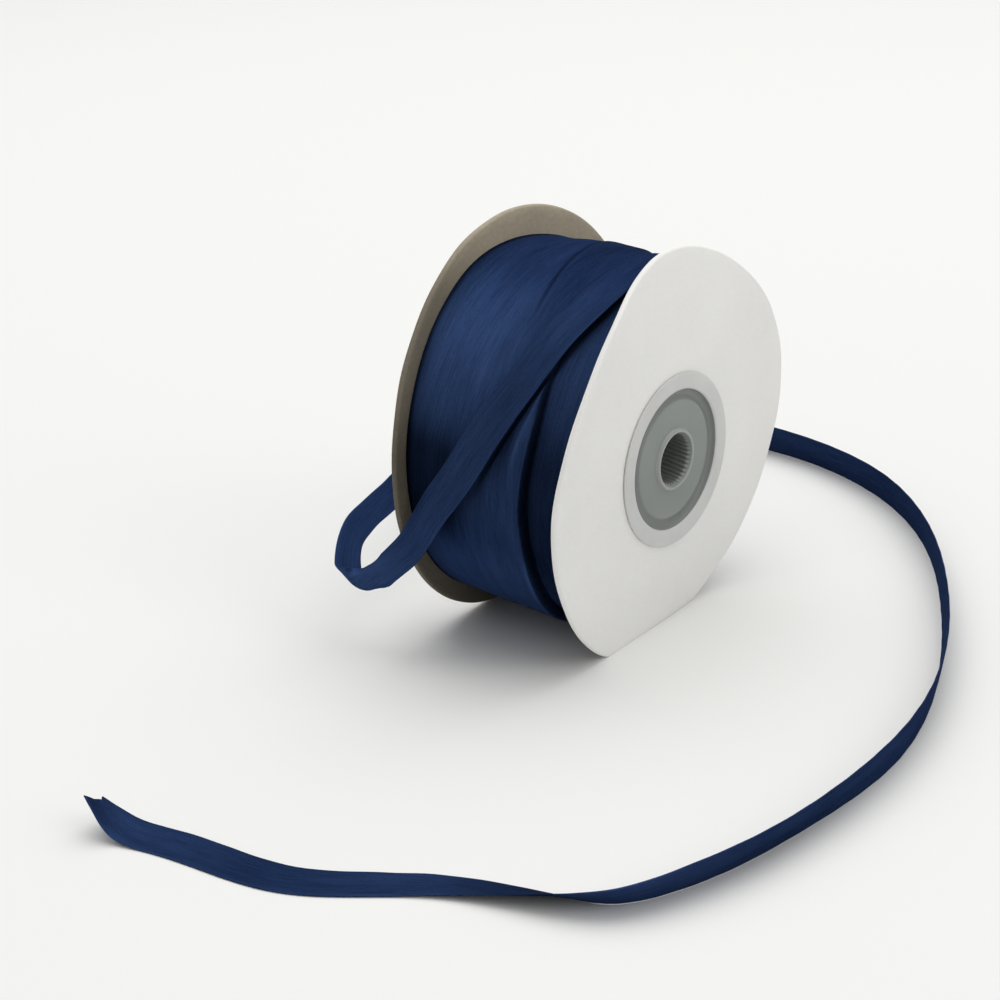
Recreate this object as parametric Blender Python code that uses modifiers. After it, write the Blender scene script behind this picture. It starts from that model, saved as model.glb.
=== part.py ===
"""A roll of narrow double-faced satin ribbon on a card spool, with its loose end run out.

The spool leans a little on its side faces: the near flange stands on a straight flat cut
in its rim, the far flange on its round rim, so the axis drops towards +X.
Metres, +Z up, origin on the surface under the middle of the spool.
"""
import math

import bmesh
import bpy
import numpy as np
from mathutils import Vector

MM = 0.001

# Driving dimensions, in millimetres.
FLANGE_R = 33.0
FLANGE_T = 1.0
SPOOL_W = 31.4            # over the outer faces of the two flanges
FLAT_H = 29.59            # middle of the near flange's rim to its flat, at its outer face
LEAN_DEG = 6.2            # the axis drops this much towards +X
FAR_SINK = 0.15           # how deep the far flange's small flat spot is cut
CENTRE_X = -0.625          # moves the whole roll so that its box is centred

RIBBON_W = 6.2
RIBBON_T = 1.0            # a plain thickness for the loose end's solid
GAP = 0.3                 # kept between pieces that touch

HUB_Y = 1.45              # the hub sits off the middle of the cards' rims, back and down
HUB_Z = -0.88
PACK_R = 29.9
STEP_X = 8.8              # where the wound part drops to its lower last column
STEP_DEPTH = 1.7
STEP_RUN = 0.5
CREASE_RISE = 0.3         # an oblique turn stands this proud of the turns under it

HOLE_R = 12.6             # hole in the cards, and bore of the wound part
SEAT = 0.1                # between the card's face and the hub's collar
COLLAR_R = 14.15
COLLAR_T = 0.4
DISH_R = 11.4
DISH_DEPTH = 0.6
GROOVE_W = 1.3
GROOVE_DEPTH = 0.5        # below the dish
WEB_T = 1.2
BARREL_DEPTH = 8.5
BORE_R = 4.4
LIP_R = 5.0
LIP_RISE = 0.55

TURN_STEPS = 72
WARP_START_R = 15.1       # cards are held flat under the hub collar

NEAR_SLOPE = -0.054       # the near hub leans back this much from square to the axis

# Side-to-side bend of each card's rim: cosine and sine amplitudes of 1 to 4 waves a turn.
NEAR_BEND = ((-1.88, -0.42), (1.52, 0.15), (0.53, 0.54), (-0.53, -0.01))
FAR_BEND = ((-1.39, -1.21), (0.63, 0.62), (-0.06, 0.26))

# The loose ribbon, from its last turn on the roll to its cut end.
# Columns: centre x, y, z in millimetres, then the direction across the ribbon.
ROUTE = (
    (11.4, 11.7, 58.5, 0.99, 0.05, -0.08),
    (11.5, 2.9, 60.6, 0.99, -0.03, -0.11),
    (11.8, -5.2, 60.2, 0.97, -0.12, -0.13),
    (11.3, -14.2, 57.6, 0.93, -0.25, -0.23),
    (9.5, -20.2, 53.7, 0.90, -0.28, -0.35),
    (6.3, -26.6, 46.7, 0.88, -0.19, -0.42),
    (2.4, -30.0, 39.3, 0.87, -0.12, -0.46),
    (-2.6, -31.9, 30.6, 0.82, -0.14, -0.55),
    (-6.9, -32.3, 24.9, 0.77, -0.24, -0.59),
    (-10.7, -32.9, 19.1, 0.75, -0.33, -0.57),
    (-14.8, -34.0, 15.3, 0.73, -0.43, -0.53),
    (-17.1, -35.1, 14.0, 0.72, -0.18, -0.67),
    (-18.9, -35.7, 13.4, 0.52, 0.36, -0.78),
    (-21.0, -35.3, 13.3, 0.28, 0.72, -0.63),
    (-23.3, -33.1, 14.8, 0.16, 0.74, -0.65),
    (-25.7, -29.3, 16.7, 0.12, 0.50, -0.86),
    (-27.7, -24.2, 17.6, 0.00, 0.30, -0.95),
    (-29.0, -18.8, 18.4, -0.06, 0.17, -0.98),
    (-31.0, -11.5, 19.0, 0.04, 0.12, -0.99),
    (-40.0, 9.0, 19.4, 0.25, 0.12, -0.96),
    (-50.5, 30.0, 14.6, 0.33, 0.18, -0.92),
    (-57.0, 50.0, 8.0, 0.30, 0.12, -0.95),
    (-56.0, 70.0, 4.2, 0.15, 0.05, -0.99),
    (-44.0, 86.0, 3.3, 0.10, 0.20, -0.98),
    (-22.0, 88.8, 3.3, 0.09, 0.33, -0.94),
    (-4.3, 83.8, 3.3, 0.12, 0.28, -0.95),
    (11.7, 74.7, 3.3, 0.12, 0.17, -0.98),
    (25.5, 62.3, 3.3, 0.10, 0.09, -0.99),
    (47.2, 32.3, 3.3, -0.08, -0.04, -1.00),
    (62.9, 1.5, 3.3, -0.18, -0.07, -0.98),
    (70.5, -24.1, 3.3, -0.22, -0.03, -0.97),
    (71.4, -50.7, 3.2, -0.44, 0.04, -0.89),
    (67.0, -75.0, 3.1, -0.51, 0.23, -0.83),
    (62.2, -82.7, 2.7, -0.44, 0.57, -0.69),
    (55.3, -85.4, 2.0, -0.26, 0.84, -0.47),
    (39.4, -90.2, 0.9, -0.50, 0.86, -0.05),
    (24.6, -99.3, 0.8, -0.30, 0.95, 0.08),
    (3.2, -101.0, 0.9, -0.08, 0.99, 0.10),
    (-4.2, -102.2, 1.8, -0.12, 0.98, -0.02),
    (-8.6, -102.8, 5.0, -0.36, 0.83, -0.43),
)
ROUTE_STEPS = 5

COLOURS = {
    "card_front": (0.62, 0.62, 0.60, 0.85, 0.0),
    "card_back": (0.19, 0.16, 0.13, 0.9, 0.0),
    "hub_plastic": (0.55, 0.56, 0.54, 0.45, 0.0),
    "satin_navy": (0.012, 0.028, 0.11, 0.38, 0.0),
}


def clear_scene():
    for thing in list(bpy.data.objects):
        bpy.data.objects.remove(thing, do_unlink=True)


def new_collection(name):
    group = bpy.data.collections.new(name)
    bpy.context.scene.collection.children.link(group)
    return group


def principled(name):
    red, green, blue, roughness, metallic = COLOURS[name]
    material = bpy.data.materials.new(name)
    material.use_nodes = True
    shader = material.node_tree.nodes["Principled BSDF"]
    shader.inputs["Base Color"].default_value = (red, green, blue, 1.0)
    shader.inputs["Roughness"].default_value = roughness
    shader.inputs["Metallic"].default_value = metallic
    return material


def ramp(value, start, end):
    """0 before start, 1 after end, smooth between."""
    t = min(max((value - start) / (end - start), 0.0), 1.0)
    return t * t * (3.0 - 2.0 * t)


def rim_share(radius):
    """0 under the hub's collar, 1 at a card's rim."""
    return max(radius - WARP_START_R, 0.0) / (FLANGE_R - WARP_START_R)


def bend(side, y, z):
    """Sideways shift of the near (+1) or far (-1) card and hub at a point of a round disc."""
    angle = math.atan2(z, y)
    reach = rim_share(math.hypot(y, z)) ** 2
    total = 0.0
    for count, (cosine, sine) in enumerate(NEAR_BEND if side > 0 else FAR_BEND, start=1):
        total += cosine * math.cos(count * angle) + sine * math.sin(count * angle)
    slope = NEAR_SLOPE if side > 0 else 0.0
    return total * reach + slope * z * (1.0 - reach)


def off_centre(y, z):
    """Moves a point of a round disc so that its rim is centred on the cards, not the hub."""
    share = rim_share(math.hypot(y, z))
    return y - HUB_Y * share, z - HUB_Z * share


def spool_shape(x, y, z):
    """Moves a point of the straight spool to where the bent cards and the turns put it."""
    near = ramp(x, STEP_X + 0.4, SPOOL_W / 2 - FLANGE_T - GAP)
    far = ramp(-x, SPOOL_W / 2 - 6.0, SPOOL_W / 2 - FLANGE_T - GAP)
    shift = near * bend(1, y, z) + far * bend(-1, y, z)
    return (x + shift, *off_centre(y, z))


def crease_rise(x, y, z):
    """Height of the oblique turn that crosses the top of the wound part."""
    turn = math.degrees(math.atan2(z, -y))
    edge_x = -3.4 + (96.0 - turn) * 0.1
    along = ramp(turn, 40.0, 75.0) * (1.0 - ramp(turn, 120.0, 170.0))
    across = ramp(x, edge_x - 0.8, edge_x) * (1.0 - ramp(x, edge_x + 5.4, edge_x + 7.0))
    return CREASE_RISE * along * across


def turned(name, profile, group, parent, material, shape):
    """Turns an (x, radius) outline round the spool axis, then shapes its points."""
    mesh = bpy.data.meshes.new(name)
    rows = [(x * MM, 0.0, radius * MM) for x, radius in profile]
    edges = [(i, (i + 1) % len(rows)) for i in range(len(rows))]
    mesh.from_pydata(rows, edges, [])
    lathe = bpy.data.objects.new(name + "_lathe", mesh)
    group.objects.link(lathe)
    screw = lathe.modifiers.new("turn", "SCREW")
    screw.axis = "X"
    screw.steps = TURN_STEPS
    screw.render_steps = TURN_STEPS
    screw.use_merge_vertices = True
    screw.merge_threshold = 0.000001
    bpy.context.view_layer.update()
    seen = lathe.evaluated_get(bpy.context.evaluated_depsgraph_get())
    solid_mesh = bpy.data.meshes.new_from_object(seen)
    bpy.data.objects.remove(lathe, do_unlink=True)
    solid_mesh.name = name
    for vertex in solid_mesh.vertices:
        x, y, z = (value / MM for value in vertex.co)
        vertex.co = Vector(shape(x, y, z)) * MM
    face_outwards(solid_mesh)
    return add_object(name, solid_mesh, group, parent, material)


def face_outwards(mesh):
    work = bmesh.new()
    work.from_mesh(mesh)
    bmesh.ops.recalc_face_normals(work, faces=work.faces)
    work.to_mesh(mesh)
    work.free()


def add_object(name, mesh, group, parent, material):
    mesh.materials.clear()
    mesh.materials.append(material)
    piece = bpy.data.objects.new(name, mesh)
    piece.parent = parent
    group.objects.link(piece)
    return piece


def spaced(start, end, count):
    return [start + (end - start) * i / count for i in range(count + 1)]


def flange(name, outer_x, side, radius, group, parent, material):
    """A card disc with its hole; side is +1 where its outer face looks along +X."""
    inner_x = outer_x - side * FLANGE_T
    radii = spaced(HOLE_R, radius, 6)
    outline = [(outer_x, r) for r in radii] + [(inner_x, r) for r in reversed(radii)]

    def shape(x, y, z):
        return (x + bend(side, y, z), *off_centre(y, z))

    return turned(name, outline, group, parent, material, shape)


def hub(name, side, group, parent, material):
    """A plastic plug: collar on the card, grooved dish, lipped bore and a barrel inside."""
    face = SPOOL_W / 2 + SEAT
    front = face + COLLAR_T
    dish = front - DISH_DEPTH
    groove = dish - GROOVE_DEPTH
    lip = dish + LIP_RISE
    end = face - BARREL_DEPTH
    outline = [
        (face, HOLE_R - GAP), (face, COLLAR_R), (front - 0.15, COLLAR_R),
        (front, COLLAR_R - 0.15), (front, DISH_R + 0.2), (front - 0.2, DISH_R),
        (groove, DISH_R - 0.2), (groove, DISH_R - GROOVE_W), (dish, DISH_R - GROOVE_W - 0.4),
        (dish, LIP_R + 0.2), (lip, LIP_R), (lip, BORE_R + 0.15), (lip - 0.15, BORE_R),
        (end, BORE_R), (end, BORE_R + 1.0), (groove - WEB_T, BORE_R + 1.0),
        (groove - WEB_T, DISH_R), (end, DISH_R), (end, HOLE_R - GAP),
    ]
    outline = [(side * x, radius) for x, radius in outline]

    def shape(x, y, z):
        return x + bend(side, y, z), y, z

    return turned(name, outline, group, parent, material, shape)


def wound_ribbon(group, parent, material):
    """The wound ribbon as one solid: main drum, low last column and the oblique turn."""
    end = SPOOL_W / 2 - FLANGE_T - GAP
    low = PACK_R - STEP_DEPTH
    drum = [(x, PACK_R) for x in spaced(-end, STEP_X - STEP_RUN, 10)]
    column = [(x, low) for x in spaced(STEP_X, end, 2)]
    side_radii = spaced(low, HOLE_R, 5)[1:]
    near_side = [(end, r) for r in side_radii]
    far_side = [(-end, r) for r in reversed(spaced(PACK_R, HOLE_R, 5)[1:])]
    outline = drum + column + near_side + far_side

    def shape(x, y, z):
        radius = math.hypot(y, z)
        if radius > PACK_R - 0.1:
            grow = (radius + crease_rise(x, y, z)) / radius
            y, z = y * grow, z * grow
        return spool_shape(x, y, z)

    return turned("wound_ribbon", outline, group, parent, material, shape)


def smooth_route(rows, steps):
    """Natural cubic spline through the rows, spaced by distance, read at even shares."""
    table = np.array(rows, dtype=float)
    spans = np.linalg.norm(np.diff(table[:, :3], axis=0), axis=1)
    count = len(table)
    system = np.zeros((count, count))
    right = np.zeros_like(table)
    system[0, 0] = system[-1, -1] = 1.0
    for i in range(1, count - 1):
        before, after = spans[i - 1], spans[i]
        system[i, i - 1:i + 2] = before, 2.0 * (before + after), after
        slope_after = (table[i + 1] - table[i]) / after
        slope_before = (table[i] - table[i - 1]) / before
        right[i] = 6.0 * (slope_after - slope_before)
    curve = np.linalg.solve(system, right)
    points = []
    for i, span in enumerate(spans):
        for share in np.arange(steps) / steps:
            a, b = 1.0 - share, share
            bow = ((a ** 3 - a) * curve[i] + (b ** 3 - b) * curve[i + 1]) * span * span / 6.0
            points.append(a * table[i] + b * table[i + 1] + bow)
    points.append(table[-1])
    return np.array(points)


def loose_ribbon(group, parent, material):
    """The loose end: a strip swept along its route and given its thickness."""
    rows = smooth_route(ROUTE, ROUTE_STEPS)
    corners = []
    for row in rows:
        centre = Vector(row[:3])
        across = Vector(row[3:]).normalized() * (RIBBON_W / 2)
        corners.append((centre - across) * MM)
        corners.append((centre + across) * MM)
    faces = [(2 * i, 2 * i + 1, 2 * i + 3, 2 * i + 2) for i in range(len(rows) - 1)]
    mesh = bpy.data.meshes.new("ribbon_tail")
    mesh.from_pydata(corners, [], faces)
    piece = add_object("ribbon_tail", mesh, group, parent, material)
    thick = piece.modifiers.new("thickness", "SOLIDIFY")
    thick.thickness = RIBBON_T * MM
    thick.offset = 0.0
    return piece


def floor_cutter(group):
    """A block below the surface, which trims the card rims flat where they stand."""
    size = 0.2
    bpy.ops.mesh.primitive_cube_add(size=size, location=(0.0, 0.0, -size / 2))
    block = bpy.context.object
    block.name = "floor_cutter"
    block.hide_render = True
    block.display_type = "WIRE"
    for owner in list(block.users_collection):
        owner.objects.unlink(block)
    group.objects.link(block)
    return block


def trim(piece, cutter):
    cut = piece.modifiers.new("stand_flat", "BOOLEAN")
    cut.operation = "DIFFERENCE"
    cut.object = cutter


def spool_axis(group):
    """The empty on the spool axis, level with its middle, that carries the spool's pieces."""
    lean = math.radians(LEAN_DEG)
    axis = bpy.data.objects.new("spool_axis", None)
    height = math.sin(lean) * SPOOL_W / 2 + math.cos(lean) * (FLAT_H + HUB_Z)
    axis.location = ((CENTRE_X + math.sin(lean) * HUB_Z) * MM, HUB_Y * MM, height * MM)
    axis.rotation_euler = (0.0, lean, 0.0)
    group.objects.link(axis)
    return axis


def main():
    clear_scene()
    roll = new_collection("ribbon_roll")
    cutters = new_collection("cutters")
    front_card = principled("card_front")
    back_card = principled("card_back")
    plastic = principled("hub_plastic")
    satin = principled("satin_navy")
    axis = spool_axis(roll)
    ground = bpy.data.objects.new("ground_point", None)
    ground.location = (CENTRE_X * MM, 0.0, 0.0)
    roll.objects.link(ground)
    cutter = floor_cutter(cutters)
    near = flange("flange_near", SPOOL_W / 2, 1, FLANGE_R, roll, axis, front_card)
    far = flange("flange_far", -SPOOL_W / 2, -1, FLANGE_R + FAR_SINK, roll, axis, back_card)
    trim(near, cutter)
    trim(far, cutter)
    hub("hub_near", 1, roll, axis, plastic)
    hub("hub_far", -1, roll, axis, plastic)
    wound_ribbon(roll, axis, satin)
    loose_ribbon(roll, ground, satin)


main()
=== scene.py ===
"""Looks of a roll of narrow double-faced satin ribbon on a card spool, its end run out.

Lengths are in millimetres until a mesh is made; meshes are in metres, in the frame's own axes.
"""
import math

import bmesh
import bpy
import numpy as np
from mathutils import Matrix, Vector

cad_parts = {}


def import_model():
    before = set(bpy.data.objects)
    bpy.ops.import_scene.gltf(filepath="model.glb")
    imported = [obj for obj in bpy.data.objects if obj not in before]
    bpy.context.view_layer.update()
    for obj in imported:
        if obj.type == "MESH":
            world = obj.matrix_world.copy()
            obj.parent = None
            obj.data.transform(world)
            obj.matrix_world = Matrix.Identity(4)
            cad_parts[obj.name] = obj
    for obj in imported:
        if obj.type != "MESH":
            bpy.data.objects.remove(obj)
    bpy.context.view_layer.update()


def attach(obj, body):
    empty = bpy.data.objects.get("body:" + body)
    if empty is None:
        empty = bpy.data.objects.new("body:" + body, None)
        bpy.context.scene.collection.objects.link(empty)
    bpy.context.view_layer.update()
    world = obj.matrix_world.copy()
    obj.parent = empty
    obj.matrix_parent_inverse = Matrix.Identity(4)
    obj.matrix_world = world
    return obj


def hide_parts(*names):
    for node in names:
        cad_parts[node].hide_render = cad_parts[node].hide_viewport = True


MM = 0.001

# The spool's driving sizes, the same as the frame's.
FLANGE_R = 33.0
FLANGE_T = 1.0
SPOOL_W = 31.4
FLAT_H = 29.59            # middle of the near card's rim to the flat that it stands on
LEAN = math.radians(6.2)
CENTRE_X = -0.625         # sideways place of the spool's middle
FAR_SINK = 0.15           # depth of the far card's small flat spot
HUB_Y = 1.45              # the hub's offset from the middle of the cards
HUB_Z = -0.88
PACK_R = 29.9             # the wound part
STEP_X = 8.8              # where its last, lower column begins
STEP_DEPTH = 1.7
HOLE_R = 12.6
GAP = 0.3                 # clearance between pieces
WARP_START_R = 15.1       # cards are held flat under the hub's collar
NEAR_SLOPE = -0.054
NEAR_BEND = ((-1.88, -0.42), (1.52, 0.15), (0.53, 0.54), (-0.53, -0.01))
FAR_BEND = ((-1.39, -1.21), (0.63, 0.62), (-0.06, 0.26))

# The hub plugs.
SEAT = 0.1                # collar off the card
COLLAR_R = 14.15
COLLAR_T = 0.4
DISH_R = 11.4
DISH_DEPTH = 0.6
GROOVE_W = 1.3
GROOVE_DEPTH = 0.5
WEB_T = 1.2
BARREL_DEPTH = 8.5
BORE_R = 4.4
LIP_R = 5.0
LIP_RISE = 0.55
RIB_COUNT = 36
RIB_HEIGHT = 0.42

# The ribbon as it is seen, thinner than its plain solid.
RIBBON_W = 6.2
RIBBON_T = 0.28
STRIP_STEPS = 14          # strip rings to each row of the route
STRIP_COLUMNS = 17        # points across one face of the strip
FLOOR_LIFT = 0.04         # strip off the surface
DRUM_LIFT = 0.32          # middle of the strip off the wound part

# The camera: its place, how far round from the front it stands, and how far it looks down.
CAMERA_PLACE = (223.66 + CENTRE_X, -307.76, 148.38)
CAMERA_AZIMUTH = 38.198
CAMERA_ELEVATION = 18.691
CAMERA_ROLL = -1.658
CAMERA_LENS = 89.38
CAMERA_SENSOR = 36.0

# The studio, in metres and watts.
FLOOR_SIZE = 6.0
FLOOR_DROP = 0.00002      # keeps the floor off the faces that stand on it
SKY_STRENGTH = 0.83
KEY_PLACE, KEY_SIZE, KEY_POWER = (-0.20, 0.38, 1.20), 1.9, 9.2
SIDE_PLACE, SIDE_SIZE, SIDE_POWER = (1.5, -0.1, 0.9), 1.0, 3.4

# Fine forms of the wound part.
TURN_PITCH = 5.8          # one overlapping turn to the next
TURN_RISE = 0.05
FILL_RISE = 1.0           # how far the lower column fills up at the top
CROSSING_RISE = 0.30      # the oblique turn
SLACK_DROP = 1.2          # beside the far card
CREVICE_DEPTH = 0.55
FOLD_RISE = 0.55

# Centre x, y, z of the loose ribbon, then the direction across it.
ROUTE = (
    (11.4, 11.7, 58.5, 0.99, 0.05, -0.08),
    (11.5, 2.9, 60.6, 0.99, -0.03, -0.11),
    (11.8, -5.2, 60.2, 0.97, -0.12, -0.13),
    (11.3, -14.2, 57.6, 0.93, -0.25, -0.23),
    (9.5, -20.2, 53.7, 0.90, -0.28, -0.35),
    (6.3, -26.6, 46.7, 0.88, -0.19, -0.42),
    (2.4, -30.0, 39.3, 0.87, -0.12, -0.46),
    (-2.6, -31.9, 30.6, 0.82, -0.14, -0.55),
    (-6.9, -32.3, 24.9, 0.77, -0.24, -0.59),
    (-10.7, -32.9, 19.1, 0.75, -0.33, -0.57),
    (-14.8, -34.0, 15.3, 0.73, -0.43, -0.53),
    (-17.1, -35.1, 14.0, 0.72, -0.18, -0.67),
    (-18.9, -35.7, 13.4, 0.52, 0.36, -0.78),
    (-21.0, -35.3, 13.3, 0.28, 0.72, -0.63),
    (-23.3, -33.1, 14.8, 0.16, 0.74, -0.65),
    (-25.7, -29.3, 16.7, 0.12, 0.50, -0.86),
    (-27.7, -24.2, 17.6, 0.00, 0.30, -0.95),
    (-29.0, -18.8, 18.4, -0.06, 0.17, -0.98),
    (-31.0, -11.5, 19.0, 0.04, 0.12, -0.99),
    (-40.0, 9.0, 19.4, 0.25, 0.12, -0.96),
    (-50.5, 30.0, 14.6, 0.33, 0.18, -0.92),
    (-57.0, 50.0, 8.0, 0.30, 0.12, -0.95),
    (-56.0, 70.0, 4.2, 0.15, 0.05, -0.99),
    (-44.0, 86.0, 3.3, 0.10, 0.20, -0.98),
    (-22.0, 88.8, 3.3, 0.09, 0.33, -0.94),
    (-4.3, 83.8, 3.3, 0.12, 0.28, -0.95),
    (11.7, 74.7, 3.3, 0.12, 0.17, -0.98),
    (25.5, 62.3, 3.3, 0.10, 0.09, -0.99),
    (47.2, 32.3, 3.3, -0.08, -0.04, -1.00),
    (62.9, 1.5, 3.3, -0.18, -0.07, -0.98),
    (70.5, -24.1, 3.3, -0.22, -0.03, -0.97),
    (71.4, -50.7, 3.2, -0.44, 0.04, -0.89),
    (67.0, -75.0, 3.1, -0.51, 0.23, -0.83),
    (62.2, -82.7, 2.7, -0.44, 0.57, -0.69),
    (55.3, -85.4, 2.0, -0.26, 0.84, -0.47),
    (39.4, -90.2, 0.9, -0.50, 0.86, -0.05),
    (24.6, -99.3, 0.8, -0.30, 0.95, 0.08),
    (3.2, -101.0, 0.9, -0.08, 0.99, 0.10),
    (-4.2, -102.2, 1.8, -0.12, 0.98, -0.02),
    (-8.6, -102.8, 5.0, -0.36, 0.83, -0.43),
)

# Where the spool axis stands, level with the middle of the spool.
AXIS = (CENTRE_X + math.sin(LEAN) * HUB_Z, HUB_Y,
        math.sin(LEAN) * SPOOL_W / 2 + math.cos(LEAN) * (FLAT_H + HUB_Z))

# Shapes along the front of the roll: turn in degrees (0 front, 90 top), then place along the axis.
STEP_EDGE = ((-60.0, 7.4), (-38.0, 8.4), (-25.0, 8.8), (-5.0, 8.4), (10.0, 8.8), (22.0, 9.0),
             (36.0, 8.7), (60.0, 8.6))
STRIP_EDGE = ((-47.0, -17.7), (-9.0, -2.6), (-4.0, -0.2), (9.0, 2.7), (18.0, 4.8), (30.0, 7.3),
              (38.0, 8.7), (53.0, 10.1), (68.0, 12.0))
FOLD_LINE = ((9.0, 6.3), (17.0, 7.4), (24.0, 8.1), (34.0, 8.8))
# Painted light and shade of the loose end by row of its route, and of the far card's inner side by turn.
TAIL_PAINTED_LIGHT = ((0.0, 1.0), (8.0, 1.05), (10.0, 1.45), (12.0, 1.6), (14.0, 1.7), (18.0, 1.55),
             (22.0, 1.1), (26.0, 0.95), (28.0, 1.0), (29.5, 0.98), (31.5, 1.12), (32.6, 1.6),
             (33.4, 1.5), (34.0, 0.45), (35.0, 1.18), (36.3, 0.8), (36.8, 1.0), (39.0, 1.1))
CARD_PAINTED_LIGHT = ((-180.0, 1.0), (-60.0, 0.9), (-25.0, 0.6), (0.0, 0.5), (20.0, 0.75), (50.0, 1.05),
             (78.0, 1.8), (110.0, 1.9), (150.0, 1.2), (180.0, 1.0))


# ---------------------------------------------------------------- shapes shared with the frame

def ramp(value, start, end):
    """0 before start, 1 after end, smooth between; takes numbers or arrays."""
    t = np.clip((value - start) / (end - start), 0.0, 1.0)
    return t * t * (3.0 - 2.0 * t)


def bump(value, centre, half_width):
    """A soft bell, 1 at the centre and 0 from half_width away."""
    return 1.0 - ramp(np.abs(value - centre), 0.0, half_width)


def along_knots(knots, place):
    """Straight-line reading of a table of (place, value) pairs."""
    places, values = zip(*knots)
    return np.interp(place, places, values)


def rim_share(radius):
    """0 under the hub's collar, 1 at a card's rim."""
    return np.maximum(radius - WARP_START_R, 0.0) / (FLANGE_R - WARP_START_R)


def bend(side, angle, radius):
    """Sideways shift of the near (+1) or far (-1) card and hub at this angle from +Y to +Z."""
    reach = rim_share(radius) ** 2
    total = 0.0
    for count, (cosine, sine) in enumerate(NEAR_BEND if side > 0 else FAR_BEND, start=1):
        total = total + cosine * np.cos(count * angle) + sine * np.sin(count * angle)
    slope = NEAR_SLOPE if side > 0 else 0.0
    return total * reach + slope * radius * np.sin(angle) * (1.0 - reach)


def round_points(x, radius, angle, rim_centred=True):
    """Points at these radii and angles; rims are centred on the cards, the middle on the hub."""
    share = rim_share(radius) if rim_centred else 0.0
    y = radius * np.cos(angle) - HUB_Y * share
    z = radius * np.sin(angle) - HUB_Z * share
    return spool_to_world(np.stack([x, y, z], axis=-1))


def spool_to_world(points):
    """Spool points (along the axis, y, z from the axis) to the frame's axes, in millimetres."""
    x, y, z = points[..., 0], points[..., 1], points[..., 2]
    across = math.cos(LEAN) * x + math.sin(LEAN) * z + AXIS[0]
    up = -math.sin(LEAN) * x + math.cos(LEAN) * z + AXIS[2]
    return np.stack([across, y + AXIS[1], up], axis=-1)


def world_to_drum(points):
    """Place along the axis, and y and z from the middle of the wound part."""
    x, y, z = points[..., 0] - AXIS[0], points[..., 1] - AXIS[1], points[..., 2] - AXIS[2]
    share = float(rim_share(PACK_R))
    along = math.cos(LEAN) * x - math.sin(LEAN) * z
    up = math.sin(LEAN) * x + math.cos(LEAN) * z
    return np.stack([along, y + HUB_Y * share, up + HUB_Z * share], axis=-1)


def smooth_route(rows, steps):
    """Natural cubic spline through the rows, spaced by distance, read at even shares."""
    table = np.array(rows, dtype=float)
    spans = np.linalg.norm(np.diff(table[:, :3], axis=0), axis=1)
    count = len(table)
    system = np.zeros((count, count))
    right = np.zeros_like(table)
    system[0, 0] = system[-1, -1] = 1.0
    for i in range(1, count - 1):
        before, after = spans[i - 1], spans[i]
        system[i, i - 1:i + 2] = before, 2.0 * (before + after), after
        slope_after = (table[i + 1] - table[i]) / after
        slope_before = (table[i] - table[i - 1]) / before
        right[i] = 6.0 * (slope_after - slope_before)
    curve = np.linalg.solve(system, right)
    points = []
    for i, span in enumerate(spans):
        for share in np.arange(steps) / steps:
            a, b = 1.0 - share, share
            bow = ((a ** 3 - a) * curve[i] + (b ** 3 - b) * curve[i + 1]) * span * span / 6.0
            points.append(a * table[i] + b * table[i + 1] + bow)
    points.append(table[-1])
    return np.array(points)


# ---------------------------------------------------------------- mesh helpers

def grid_mesh(name, points, uv=None, closed=(False, False), shade=None):
    """A quad mesh over a grid of points in millimetres, with an optional UV grid in millimetres.

    A UV grid is one longer than the points along each closed direction. shade is a grid of
    painted light and shade shares, 1 on open surface, less where painted shade lies in crevices
    and recesses, more where a painted highlight lies.
    """
    rows, columns = points.shape[:2]
    row_count = rows if closed[0] else rows - 1
    column_count = columns if closed[1] else columns - 1
    i, j = np.meshgrid(np.arange(row_count), np.arange(column_count), indexing="ij")
    i, j = i.ravel(), j.ravel()
    ahead_i, ahead_j = i + 1, j + 1
    corners = ((i, j), (ahead_i, j), (ahead_i, ahead_j), (i, ahead_j))
    index = np.stack([(a % rows) * columns + (b % columns) for a, b in corners], axis=1)
    mesh = bpy.data.meshes.new(name)
    mesh.vertices.add(rows * columns)
    mesh.vertices.foreach_set("co", (points.reshape(-1, 3) * MM).astype(np.float32).ravel())
    mesh.loops.add(index.size)
    mesh.loops.foreach_set("vertex_index", index.astype(np.int32).ravel())
    mesh.polygons.add(len(index))
    mesh.polygons.foreach_set("loop_start", np.arange(0, index.size, 4, dtype=np.int32))
    mesh.update(calc_edges=True)
    if uv is not None:
        layer = mesh.uv_layers.new(name="UVMap")
        values = np.stack([uv[a, b] for a, b in corners], axis=1)
        layer.data.foreach_set("uv", values.astype(np.float32).ravel())
    if shade is not None:
        layer = mesh.color_attributes.new("shade", "FLOAT_COLOR", "POINT")
        values = np.repeat(shade.reshape(-1, 1), 4, axis=1)
        values[:, 3] = 1.0
        layer.data.foreach_set("color", values.astype(np.float32).ravel())
    mesh.validate()
    return mesh


def uv_grid(lengthways, across):
    """UV places in millimetres, U along the ribbon and V across it."""
    return np.stack(np.meshgrid(lengthways, across, indexing="ij"), axis=-1)


def add_piece(name, mesh, materials, sharp):
    """A smooth-shaded piece, creased above the sharp angle, that rides on the one body."""
    piece = bpy.data.objects.new(name, mesh)
    bpy.context.scene.collection.objects.link(piece)
    for material in materials:
        mesh.materials.append(material)
    mesh.shade_smooth()
    mesh.set_sharp_from_angle(angle=math.radians(sharp))
    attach(piece, "root")
    return piece


def tidy_normals(mesh):
    """Merges doubled points and turns every face outwards."""
    work = bmesh.new()
    work.from_mesh(mesh)
    bmesh.ops.remove_doubles(work, verts=work.verts, dist=1e-7)
    bmesh.ops.recalc_face_normals(work, faces=work.faces)
    work.to_mesh(mesh)
    work.free()


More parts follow.
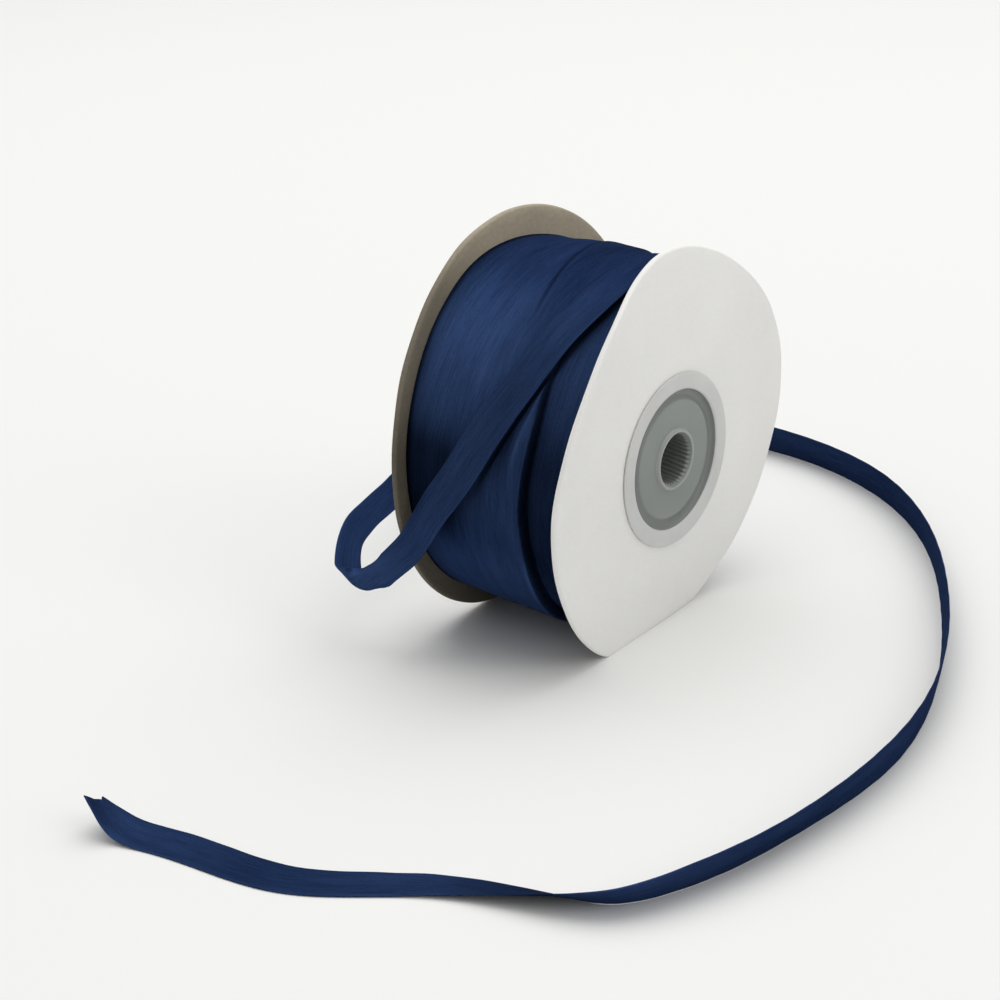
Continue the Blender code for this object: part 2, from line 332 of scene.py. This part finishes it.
def trim_at_floor(mesh):
    """Cuts a closed mesh flat where it dips under the surface."""
    work = bmesh.new()
    work.from_mesh(mesh)
    everything = work.verts[:] + work.edges[:] + work.faces[:]
    cut = bmesh.ops.bisect_plane(
        work, geom=everything, plane_co=(0, 0, 0), plane_no=(0, 0, -1), clear_outer=True)
    rim = [item for item in cut["geom_cut"] if isinstance(item, bmesh.types.BMEdge)]
    bmesh.ops.holes_fill(work, edges=rim)
    work.to_mesh(mesh)
    work.free()


def turned_points(profile, steps):
    """Grids of x, radius and angle for an (x, radius) outline turned round the spool axis."""
    outline = np.array(profile, dtype=float)
    angles = np.linspace(0.0, 2.0 * math.pi, steps, endpoint=False)
    x = np.repeat(outline[None, :, 0], steps, axis=0)
    radius = np.repeat(outline[None, :, 1], steps, axis=0)
    angle = np.repeat(angles[:, None], len(outline), axis=1)
    return x, radius, angle


# ---------------------------------------------------------------- materials

def new_material(name, roughness, colour=(0.8, 0.8, 0.8)):
    """A material, its node tree and its shader; the colour is linear."""
    material = bpy.data.materials.new(name)
    material.use_nodes = True
    tree = material.node_tree
    shader = tree.nodes["Principled BSDF"]
    shader.inputs["Roughness"].default_value = roughness
    shader.inputs["Base Color"].default_value = (*colour, 1.0)
    return material, tree, shader


def scaled(tree, source, scale):
    """Coordinates stretched by a factor along each axis."""
    mapping = tree.nodes.new("ShaderNodeMapping")
    mapping.inputs["Scale"].default_value = scale
    tree.links.new(source, mapping.inputs["Vector"])
    return mapping.outputs["Vector"]


def shade_layer(tree):
    """The painted light and shade that each mesh carries in its points."""
    node = tree.nodes.new("ShaderNodeVertexColor")
    node.layer_name = "shade"
    return node.outputs["Color"]


def noise(tree, vector, scale, detail=2.0, rough=0.5):
    """Cloudy noise between 0 and 1."""
    node = tree.nodes.new("ShaderNodeTexNoise")
    node.inputs["Scale"].default_value = scale
    node.inputs["Detail"].default_value = detail
    node.inputs["Roughness"].default_value = rough
    tree.links.new(vector, node.inputs["Vector"])
    return node.outputs["Fac"]


def colour_ramp(tree, factor, stops):
    """A colour read from a number, by (position, colour) stops."""
    node = tree.nodes.new("ShaderNodeValToRGB")
    while len(node.color_ramp.elements) < len(stops):
        node.color_ramp.elements.new(0.5)
    for element, (position, colour) in zip(node.color_ramp.elements, stops):
        element.position = position
        element.color = (*colour, 1.0)
    tree.links.new(factor, node.inputs["Fac"])
    return node.outputs["Color"]


def feed(tree, socket, value):
    """Links another node's output to a socket, or sets the socket's own number."""
    if isinstance(value, bpy.types.NodeSocket):
        tree.links.new(value, socket)
    else:
        socket.default_value = value


def multiplied(tree, first, second):
    """The product of two colours."""
    node = tree.nodes.new("ShaderNodeMix")
    node.data_type = "RGBA"
    node.blend_type = "MULTIPLY"
    factor_input, first_input, second_input, colour_output = 0, 6, 7, 2
    for index, value in ((factor_input, 1.0), (first_input, first), (second_input, second)):
        feed(tree, node.inputs[index], value)
    return node.outputs[colour_output]


def maths(tree, operation, first, second):
    """One arithmetic step on two numbers, each a node's output or a plain value."""
    node = tree.nodes.new("ShaderNodeMath")
    node.operation = operation
    for socket, value in zip(node.inputs, (first, second)):
        feed(tree, socket, value)
    return node.outputs[0]


def weighted_sum(tree, parts):
    """The sum of node outputs, each times its own weight."""
    total = None
    for source, weight in parts:
        term = maths(tree, "MULTIPLY", source, weight)
        total = term if total is None else maths(tree, "ADD", total, term)
    return total


def add_bump(tree, shader, height, strength, distance):
    """Fine relief from a height; the distance is in metres."""
    node = tree.nodes.new("ShaderNodeBump")
    node.inputs["Strength"].default_value = strength
    node.inputs["Distance"].default_value = distance
    tree.links.new(height, node.inputs["Height"])
    tree.links.new(node.outputs["Normal"], shader.inputs["Normal"])


def satin_material(name, dark, light):
    """Woven satin: long warp floats along U, a fine weft tick across, a soft directional sheen."""
    material, tree, shader = new_material(name, 0.4)
    uv = tree.nodes.new("ShaderNodeUVMap").outputs["UV"]
    floats = noise(tree, scaled(tree, uv, (0.16, 5.0, 1.0)), 1.0, 4.0, 0.65)
    broad = noise(tree, scaled(tree, uv, (0.05, 0.4, 1.0)), 1.0, 2.0, 0.5)
    weave = noise(tree, scaled(tree, uv, (1.6, 4.0, 1.0)), 1.0, 2.0, 0.7)
    total = weighted_sum(tree, ((floats, 0.55), (broad, 0.25), (weave, 0.20)))
    colour = colour_ramp(tree, total, ((0.32, dark), (0.70, light)))
    # The base colour is multiplied by the painted light and shade carried in the mesh.
    colour = multiplied(tree, colour, shade_layer(tree))
    tree.links.new(colour, shader.inputs["Base Color"])
    shader.inputs["Metallic"].default_value = 0.3
    shader.inputs["Specular IOR Level"].default_value = 0.0
    shader.inputs["Specular Tint"].default_value = (0.02, 0.07, 0.24, 1.0)
    shader.inputs["Anisotropic"].default_value = 0.55
    tangent = tree.nodes.new("ShaderNodeTangent")
    tangent.direction_type = "UV_MAP"
    tangent.uv_map = "UVMap"
    tree.links.new(tangent.outputs["Tangent"], shader.inputs["Tangent"])
    relief = weighted_sum(tree, ((floats, 0.8), (weave, 0.4)))
    add_bump(tree, shader, relief, 0.45, 0.00015)
    return material


def board_material(name, dark, light):
    """Pressed board or paper: fine fibres and soft blotches."""
    material, tree, shader = new_material(name, 0.88)
    where = tree.nodes.new("ShaderNodeTexCoord").outputs["Object"]
    fibres = noise(tree, scaled(tree, where, (1.0, 1.0, 2.0)), 900.0, 4.0, 0.7)
    blotch = noise(tree, where, 60.0)
    total = weighted_sum(tree, ((fibres, 0.5), (blotch, 0.5)))
    colour = colour_ramp(tree, total, ((0.3, dark), (0.7, light)))
    # The base colour is multiplied by the painted light and shade carried in the mesh.
    colour = multiplied(tree, colour, shade_layer(tree))
    tree.links.new(colour, shader.inputs["Base Color"])
    shader.inputs["Specular IOR Level"].default_value = 0.25
    add_bump(tree, shader, fibres, 0.12, 0.0001)
    return material


def plastic_material(name, colour, roughness):
    """Moulded plastic, faintly clouded, that lets a little light in."""
    material, tree, shader = new_material(name, roughness, colour)
    where = tree.nodes.new("ShaderNodeTexCoord").outputs["Object"]
    clouds = noise(tree, where, 140.0, 3.0, 0.6)
    tint = colour_ramp(tree, clouds, ((0.3, tuple(c * 0.93 for c in colour)), (0.7, colour)))
    tree.links.new(tint, shader.inputs["Base Color"])
    shader.inputs["Subsurface Weight"].default_value = 0.1
    shader.inputs["Subsurface Scale"].default_value = 0.001
    add_bump(tree, shader, clouds, 0.05, 0.0001)
    return material


# ---------------------------------------------------------------- the cards

def card_disc(name, node, side, radius, materials):
    """A board disc with a soft rim; the materials are its outer face's, its rim's and its inner face's."""
    outer_x = side * SPOOL_W / 2
    thick = FLANGE_T
    edge = 0.32
    outer_radii = np.linspace(HOLE_R - 0.2, radius - edge, 22)
    inner_radii = outer_radii[::-1]
    turns = np.linspace(0.0, math.pi, 7)
    rim_x = outer_x - side * thick / 2 + side * thick / 2 * np.cos(turns)
    rim_r = radius - edge + edge * np.sin(turns)
    profile = [(outer_x, r) for r in outer_radii[:-1]]
    profile += list(zip(rim_x, rim_r))
    profile += [(outer_x - side * thick, r) for r in inner_radii[1:]]
    x, ring, angle = turned_points(profile, 240)
    ripple = 0.05 * np.sin(9 * angle + side) + 0.04 * np.sin(17 * angle + 2.0)
    fray = ramp(ring, radius - 1.5, radius)
    x = x + bend(side, angle, ring) + fray * ripple
    points = round_points(x, ring, angle)
    rim_from = len(outer_radii) - 1
    inside_from = rim_from + len(turns) - 1
    # The far card's rim and inner face carry painted light at the top and painted shade towards the front.
    turn = 180.0 - np.degrees(angle)
    inner = (np.arange(len(profile)) > rim_from)[None, :] * (side < 0)
    shade = np.where(inner, along_knots(CARD_PAINTED_LIGHT, turn), 1.0)
    mesh = grid_mesh(name, points, closed=(True, True), shade=shade)
    for polygon in mesh.polygons:
        column = polygon.index % len(profile)
        polygon.material_index = int(column >= rim_from) + int(column >= inside_from)
    tidy_normals(mesh)
    trim_at_floor(mesh)
    piece = add_piece(name, mesh, materials, sharp=50)
    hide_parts(node)
    return piece


# ---------------------------------------------------------------- the hub plugs

def hub_plug(name, node, side, materials):
    """Collar, dished web with a groove at its rim, lipped bore with fine ribs along it.

    The materials follow the outline inwards: collar, groove, dish, lip and bore; the groove's and bore's
    darker greys are painted shade, the lip's lighter grey a painted highlight.
    """
    face = SPOOL_W / 2 + SEAT - 0.06
    front = SPOOL_W / 2 + SEAT + COLLAR_T
    web = front - DISH_DEPTH
    groove = web - GROOVE_DEPTH
    lip = web + LIP_RISE
    inner = DISH_R - GROOVE_W
    end = SPOOL_W / 2 + SEAT - BARREL_DEPTH
    collar = [
        (face, HOLE_R - GAP), (face, COLLAR_R - 0.25), (face + 0.1, COLLAR_R - 0.05),
        (front - 0.16, COLLAR_R), (front - 0.04, COLLAR_R - 0.1), (front, COLLAR_R - 0.3),
        (front, COLLAR_R - 1.4), (front - 0.02, DISH_R + 0.45), (front - 0.1, DISH_R + 0.15),
        (front - 0.3, DISH_R)]
    dish = [
        (groove + 0.35, DISH_R - 0.06), (groove + 0.08, DISH_R - 0.3), (groove, DISH_R - 0.65),
        (groove + 0.06, inner + 0.1), (web - 0.2, inner - 0.2), (web - 0.04, inner - 0.5),
        (web, inner - 1.0), (web, 7.4), (web, LIP_R + 0.9)]
    lips = [(web + 0.04, LIP_R + 0.12), (web + 0.3, LIP_R - 0.02), (lip - 0.06, LIP_R - 0.1),
            (lip, LIP_R - 0.25), (lip - 0.04, BORE_R + 0.08), (lip - 0.2, BORE_R)]
    bore = [(lip - 0.3 - 0.5 * i, BORE_R) for i in range(17)]
    inside = [(end, BORE_R + 1.0), (groove - WEB_T, BORE_R + 1.0), (groove - WEB_T, DISH_R - 0.1),
              (end, DISH_R - 0.1), (end, HOLE_R - GAP)]
    profile = [(side * x, r) for x, r in collar + dish + lips + bore + inside]
    x, ring, angle = turned_points(profile, 288)
    dish_from = len(collar) - 1
    zone_from = dish_from + 6
    lip_from = len(collar) + len(dish)
    bore_from = lip_from + len(lips) + 1
    in_bore = np.zeros(len(profile))
    in_bore[bore_from:lip_from + len(lips) + len(bore)] = 1.0
    ribs = 0.5 + 0.5 * np.cos(RIB_COUNT * angle + 0.45 * x)
    ring = ring - RIB_HEIGHT * in_bore[None, :] * ribs
    points = round_points(x + bend(side, angle, ring), ring, angle, rim_centred=False)
    mesh = grid_mesh(name, points, closed=(True, True))
    for polygon in mesh.polygons:
        column = polygon.index % len(profile)
        zones = (dish_from, zone_from, lip_from, bore_from)
        polygon.material_index = sum(column >= start for start in zones)
    tidy_normals(mesh)
    piece = add_piece(name, mesh, materials, sharp=50)
    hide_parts(node)
    return piece


# ---------------------------------------------------------------- the wound ribbon

def drum_surface(x, turn):
    """Radius and painted shade and highlight of the wound part at this place along the axis and turn
    angle.
    """
    step = along_knots(STEP_EDGE, turn)
    below = ramp(x, step - 0.1, step + 0.22)
    # The last column fills up towards the top of the roll.
    filled = ramp(turn, 12.0, 42.0) * (1.0 - ramp(turn, 130.0, 170.0))
    radius = PACK_R - (STEP_DEPTH - FILL_RISE * filled) * below
    # Neighbouring turns overlap like shingles, each a little aslant.
    slant = 0.012 * turn + 0.35 * np.sin(np.radians(turn * 1.5 + 70.0))
    phase = ((x - slant + 40.0) / TURN_PITCH) % 1.0
    radius = radius + TURN_RISE * (ramp(phase, 0.0, 0.07) - phase) * (1.0 - below)
    # The oblique turn that crosses the top.
    edge = -3.4 + (96.0 - turn) * 0.1
    along = ramp(turn, 40.0, 72.0) * (1.0 - ramp(turn, 125.0, 175.0))
    oblique = ramp(x, edge - 0.5, edge + 0.2) * (1.0 - ramp(x, edge + 5.4, edge + 6.6))
    radius = radius + CROSSING_RISE * along * oblique
    # The winding slackens and falls away beside the cards at the top, and stands fuller in front.
    radius = radius - SLACK_DROP * ramp(-x, 4.0, 14.2) * bump(turn, 100.0, 45.0)
    radius = radius + 0.45 * ramp(-x, 5.0, 13.8) * bump(turn, 20.0, 60.0)
    radius = radius - 0.35 * ramp(x, 2.0, 8.0) * bump(turn, 100.0, 60.0) * (1.0 - below)
    # Slack waves in the outer turns.
    radius = radius + 0.10 * np.sin(np.radians(turn * 3.0) + x * 0.35) * np.cos(x * 0.23 + 1.0)
    radius = radius + 0.04 * np.sin(np.radians(turn * 11.0) + x * 0.8) * bump(turn, 20.0, 90.0)
    # A gaping crevice beside the loose end's edge, and a folded selvedge standing in it.
    seen = ramp(turn, -8.0, 12.0) * (1.0 - ramp(turn, 60.0, 70.0))
    strip = along_knots(STRIP_EDGE, turn)
    gape = seen * ramp(x, strip - 1.0, strip - 0.1) * (1.0 - ramp(x, strip + 0.3, strip + 0.9))
    radius = radius - CREVICE_DEPTH * gape * (1.0 - below)
    fold = along_knots(FOLD_LINE, turn)
    wide = 0.3 + 0.85 * bump(turn, 17.0, 17.0)
    folded = bump(x, fold, wide) * bump(turn, 20.0, 18.0)
    # The wedge between the loose end's edge and the fold takes painted shade only, not a change of form.
    painted_wedge_shade = ramp(x, strip, strip + 0.3) * (1.0 - ramp(x, fold - wide - 0.3, fold - wide + 0.1))
    gape = np.maximum(gape, 0.75 * painted_wedge_shade * bump(turn, 15.0, 19.0))
    radius = radius + FOLD_RISE * folded
    return radius, drum_shade(x, turn, step, below, edge, along, gape, folded)


def drum_shade(x, turn, step, below, edge, along, gape, folded):
    """Painted shade and painted highlight on the wound part: darker in its crevices and recesses, lighter
    where light would catch it.

    The last six say, for each point: the step's place, how far it is below the step, the oblique
    turn's edge and share, and the shares of the crevice and of the folded selvedge.
    """
    # Painted shade down the crevice and wedge beside the loose end, along the oblique turn's edge and to
    # its right, and at the step.
    shade = 1.0 - 0.62 * gape
    shade = shade * (1.0 - 0.5 * along * bump(x, edge - 0.2, 0.8))
    shade = shade * (1.0 - 0.2 * along * ramp(x, edge, edge + 1.0))
    shade = shade * (1.0 - 0.72 * bump(x, step + 0.15, 0.5))
    # Painted light low on the front of the roll, and a painted sheen across its upper front.
    shade = shade * (1.0 + 0.45 * ramp(-turn, 16.0, 34.0) * (1.0 - below))
    painted_sheen = bump(turn, 38.0, 34.0) * ramp(-x, -7.0, 5.0)
    shade = shade * (1.0 + 0.75 * painted_sheen)
    # Painted shade on the lower column low in front, painted light on it higher up.
    column = below * (1.0 - ramp(turn, 8.0, 28.0)) * ramp(turn, -60.0, -20.0)
    shade = shade * (1.0 - 0.55 * column) * (1.0 + 0.25 * below * bump(turn, 38.0, 22.0))
    # Painted shade against the far card, and a painted dark patch low on the front beside the loose end.
    shade = shade * (1.0 - 0.7 * ramp(-x, 13.5, 14.4))
    painted_dark_patch = ramp(-x, 2.0, 6.0) * ramp(turn, -30.0, -12.0) * (1.0 - ramp(turn, 4.0, 18.0))
    shade = shade * (1.0 - 0.7 * painted_dark_patch)
    # Painted highlight on the step's edge low in front and on the folded selvedge.
    painted_edge_glint = bump(x, step - 0.6, 0.6) * (1.0 - ramp(turn, -30.0, -12.0))
    return shade * (1.0 + 0.35 * painted_edge_glint) + 0.55 * folded


def wound_ribbon(material):
    """The skin of the wound part, round its whole turn and down both ends to the cards' hole."""
    end = SPOOL_W / 2 - FLANGE_T - 0.12
    low = PACK_R - STEP_DEPTH
    turns = np.linspace(-180.0, 180.0, 600, endpoint=False)
    across = np.concatenate([
        np.linspace(-end, 2.0, 62), np.linspace(2.2, STEP_X - 1.4, 26),
        np.linspace(STEP_X - 1.3, STEP_X + 0.7, 26), np.linspace(STEP_X + 0.8, end, 16)])
    turn, x = np.meshgrid(turns, across, indexing="ij")
    radius, shade = drum_surface(x, turn)
    sides = np.linspace(low - 0.8, HOLE_R, 6)
    side_x = np.full((len(turns), len(sides)), end)
    side_r = np.repeat(sides[None, :], len(turns), axis=0)
    x = np.concatenate([-side_x, x, side_x], axis=1)
    radius = np.concatenate([side_r[:, ::-1], radius, side_r], axis=1)
    # The ends down to the cards' hole carry painted shade.
    painted_side_shade = np.full_like(side_x, 0.3)
    shade = np.concatenate([painted_side_shade, shade, painted_side_shade], axis=1)
    turn = np.repeat(turns[:, None], x.shape[1], axis=1)
    angle = np.pi - np.radians(turn)
    near = ramp(x, STEP_X + 0.4, end)
    far = ramp(-x, SPOOL_W / 2 - 6.0, end)
    shift = near * bend(1, angle, radius) + far * bend(-1, angle, radius)
    points = round_points(x + shift, radius, angle)
    u = np.radians(np.concatenate([turns, [180.0]])) * PACK_R
    travel = np.concatenate([[0.0], np.cumsum(np.hypot(np.diff(x[0]), np.diff(radius[0])))])
    travel = np.concatenate([travel, [travel[-1] + 1.0]])
    uv = uv_grid(u, travel)
    mesh = grid_mesh("wound_ribbon_skin", points, uv=uv, closed=(True, True), shade=shade)
    tidy_normals(mesh)
    piece = add_piece("wound_ribbon_skin", mesh, [material], sharp=60)
    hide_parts("wound_ribbon")


# ---------------------------------------------------------------- the loose ribbon

def loose_ribbon(material):
    """The loose end: a thin strip with selvedges, closer to the roll than its plain solid."""
    rows = smooth_route(ROUTE, STRIP_STEPS)
    centre = rows[:, :3] + np.array([CENTRE_X, 0.0, 0.0])
    across = rows[:, 3:] / np.linalg.norm(rows[:, 3:], axis=1)[:, None]
    row = np.arange(len(rows)) / STRIP_STEPS
    # The loop's front layer hangs a little and curls across its width before it folds back.
    cup = 0.05 + 1.5 * bump(row, 11.4, 2.0)
    centre = centre + bump(row, 12.1, 1.6)[:, None] * np.array([-0.35, -0.27, -1.4])
    tangent = np.gradient(centre, axis=0)
    tangent /= np.linalg.norm(tangent, axis=1)[:, None]
    normal = np.cross(tangent, across)
    normal /= np.linalg.norm(normal, axis=1)[:, None]
    length = np.concatenate([[0.0], np.cumsum(np.linalg.norm(np.diff(centre, axis=0), axis=1))])
    half = RIBBON_W / 2
    # The section is thinner at its selvedges; s runs across it and h is a share of its thickness.
    shares = np.linspace(-1.0, 1.0, STRIP_COLUMNS)
    upper = [(s, 0.5 * (1.0 - 0.55 * max(abs(s) - 0.9, 0.0) / 0.1)) for s in shares]
    section = upper + [(s, -h) for s, h in reversed(upper)]
    # Its lower edge stands off the roll, and its cut end frays into prongs.
    lift = 0.3 * ramp(row, 2.5, 4.0) * (1.0 - ramp(row, 6.5, 8.0))
    frayed = ramp(row, row[-1] - 0.35, row[-1])
    points = []
    for s, h in section:
        wave = 0.05 * np.sin(length * 0.9 + 3.0 * s) * s * s
        raised = lift * (ramp(s, 0.1, 1.0) - 0.25)
        prong = -0.7 + 0.9 * abs(s - 0.1) ** 0.8 + 0.2 * math.cos(19.0 * s)
        curl = half * (1.0 - np.cos(cup * s)) / cup
        offset = (half * np.sin(cup * s) / cup)[:, None] * across
        offset = offset + (h * RIBBON_T + 0.6 * wave + raised - curl)[:, None] * normal
        points.append(centre + offset + (frayed * prong)[:, None] * tangent)
    points = settle(np.stack(points, axis=1), row)
    side = np.array([s for s, _ in section])
    uv = uv_grid(length, np.append(side, side[0]) * half)
    # Painted highlight along the strip's edges, a touch of painted shade where it lies on the roll, and
    # painted light and shade along its length.
    selvedge = ramp(np.abs(side), 0.86, 0.96)[None, :] * ramp(row, 3.0, 6.0)[:, None]
    wound = 0.95 + 0.05 * ramp(row, 2.4, 4.0)[:, None]
    tone = along_knots(TAIL_PAINTED_LIGHT, row)[:, None]
    shade = (1.0 + 0.15 * selvedge) * wound * tone
    mesh = grid_mesh("loose_ribbon", points, uv=uv, closed=(False, True), shade=shade)
    close_ends(mesh, len(section))
    tidy_normals(mesh)
    piece = add_piece("loose_ribbon", mesh, [material], sharp=70)
    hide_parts("ribbon_tail")
    path = [tuple(p * MM) for p in centre]
    return piece, path, length[-1]


def settle(points, row):
    """Keeps the strip on the drum where it is wound, and on the floor where it lies."""
    local = world_to_drum(points.mean(axis=1))
    radius = np.hypot(local[:, 1], local[:, 2])
    on_drum = 1.0 - ramp(row, 4.5, 7.5)
    drop = on_drum * (radius - (PACK_R + DRUM_LIFT))
    turned = np.stack([
        math.sin(LEAN) * local[:, 2], local[:, 1], math.cos(LEAN) * local[:, 2]], axis=-1)
    points = points - (drop[:, None] * turned / radius[:, None])[:, None, :]
    lowest = points[:, :, 2].min(axis=1)
    on_floor = ramp(row, 21.4, 23.0)
    gap = np.clip(lowest - FLOOR_LIFT, -5.0, 0.6) * on_floor
    # The cut end curls up off the surface, so it only follows what lies before it.
    gap[row > 37.0] = gap[row <= 37.0][-1]
    points[:, :, 2] -= gap[:, None]
    return points


def close_ends(mesh, ring):
    """Caps the first and the last ring of points."""
    work = bmesh.new()
    work.from_mesh(mesh)
    work.verts.ensure_lookup_table()
    count = len(work.verts)
    work.faces.new([work.verts[i] for i in range(ring)])
    work.faces.new([work.verts[i] for i in range(count - ring, count)])
    work.to_mesh(mesh)
    work.free()


# ---------------------------------------------------------------- floor, light and camera

def studio():
    """A pale floor under a wide overhead softbox, in a room that is dimmer towards the horizon."""
    bpy.ops.mesh.primitive_plane_add(size=FLOOR_SIZE, location=(0.0, 0.0, -FLOOR_DROP))
    floor = bpy.context.object
    floor.name = "floor"
    material, _, shader = new_material("floor_white", 0.9, (0.86, 0.858, 0.845))
    shader.inputs["Specular IOR Level"].default_value = 0.1
    floor.data.materials.append(material)
    world = bpy.data.worlds.new("studio")
    world.use_nodes = True
    tree = world.node_tree
    where = tree.nodes.new("ShaderNodeTexCoord").outputs["Generated"]
    split = tree.nodes.new("ShaderNodeSeparateXYZ")
    tree.links.new(where, split.inputs["Vector"])
    sky = colour_ramp(tree, split.outputs["Z"], (
        (0.0, (0.34, 0.34, 0.345)), (0.3, (0.50, 0.50, 0.50)), (0.75, (0.95, 0.95, 0.94))))
    back = tree.nodes["Background"]
    tree.links.new(sky, back.inputs["Color"])
    back.inputs["Strength"].default_value = SKY_STRENGTH
    bpy.context.scene.world = world
    area_light("key", KEY_PLACE, KEY_SIZE, KEY_POWER)
    area_light("side", SIDE_PLACE, SIDE_SIZE, SIDE_POWER)
    bpy.context.scene.view_settings.view_transform = "Standard"


def area_light(name, place_at, size, power):
    """A round soft light at this place, turned to the foot of the spool."""
    data = bpy.data.lights.new(name, "AREA")
    data.shape = "DISK"
    data.size = size
    data.energy = power
    lamp = bpy.data.objects.new(name, data)
    lamp.location = place_at
    aim = Vector((0.0, 0.0, 0.02)) - Vector(place_at)
    lamp.rotation_euler = aim.to_track_quat("-Z", "Y").to_euler()
    bpy.context.scene.collection.objects.link(lamp)


def camera():
    """A long lens, turned round to the right of the ribbon's front and looking down at it."""
    azimuth = math.radians(CAMERA_AZIMUTH)
    elevation = math.radians(CAMERA_ELEVATION)
    roll = math.radians(CAMERA_ROLL)
    back = Vector((math.sin(azimuth) * math.cos(elevation),
                   -math.cos(azimuth) * math.cos(elevation),
                   math.sin(elevation)))
    level = Vector((math.cos(azimuth), math.sin(azimuth), 0.0))
    rise = back.cross(level)
    right = level * math.cos(roll) + rise * math.sin(roll)
    up = rise * math.cos(roll) - level * math.sin(roll)
    data = bpy.data.cameras.new("camera")
    data.lens = CAMERA_LENS
    data.sensor_width = CAMERA_SENSOR
    data.clip_start = 0.01
    body = bpy.data.objects.new("camera", data)
    body.matrix_world = Matrix((right, up, back)).transposed().to_4x4()
    body.location = Vector(CAMERA_PLACE) * MM
    bpy.context.scene.collection.objects.link(body)
    bpy.context.scene.camera = body


def main():
    """Camera and loose end first, then the rest of the roll and the studio."""
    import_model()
    camera()
    satin = satin_material("satin_navy", (0.0085, 0.018, 0.048), (0.028, 0.053, 0.136))
    ribbon, path, length = loose_ribbon(satin)
    wound_ribbon(satin)
    white = board_material("card_white", (0.86, 0.855, 0.835), (0.92, 0.915, 0.895))
    brown = board_material("card_brown", (0.19, 0.165, 0.125), (0.28, 0.245, 0.185))
    near = card_disc("card_near", "flange_near", 1, FLANGE_R, [white, white, brown])
    far = card_disc("card_far", "flange_far", -1, FLANGE_R + FAR_SINK, [white, brown, brown])
    collar = plastic_material("hub_collar", (0.66, 0.665, 0.65), 0.4)
    # The groove's and the bore's darker greys are painted shade, the lip's lighter grey, carried into the
    # top of the bore, a painted highlight; the plugs are one plastic.
    groove = plastic_material("hub_groove_painted_shade", (0.235, 0.25, 0.24), 0.45)
    grey = plastic_material("hub_dish", (0.262, 0.286, 0.272), 0.42)
    dark = plastic_material("hub_bore_painted_shade", (0.24, 0.26, 0.25), 0.45)
    lip = plastic_material("hub_lip_painted_highlight", (0.36, 0.38, 0.37), 0.4)
    for name, node, side in (("hub_front", "hub_near", 1), ("hub_back", "hub_far", -1)):
        plug = hub_plug(name, node, side, [collar, groove, grey, lip, dark])
    studio()


main()
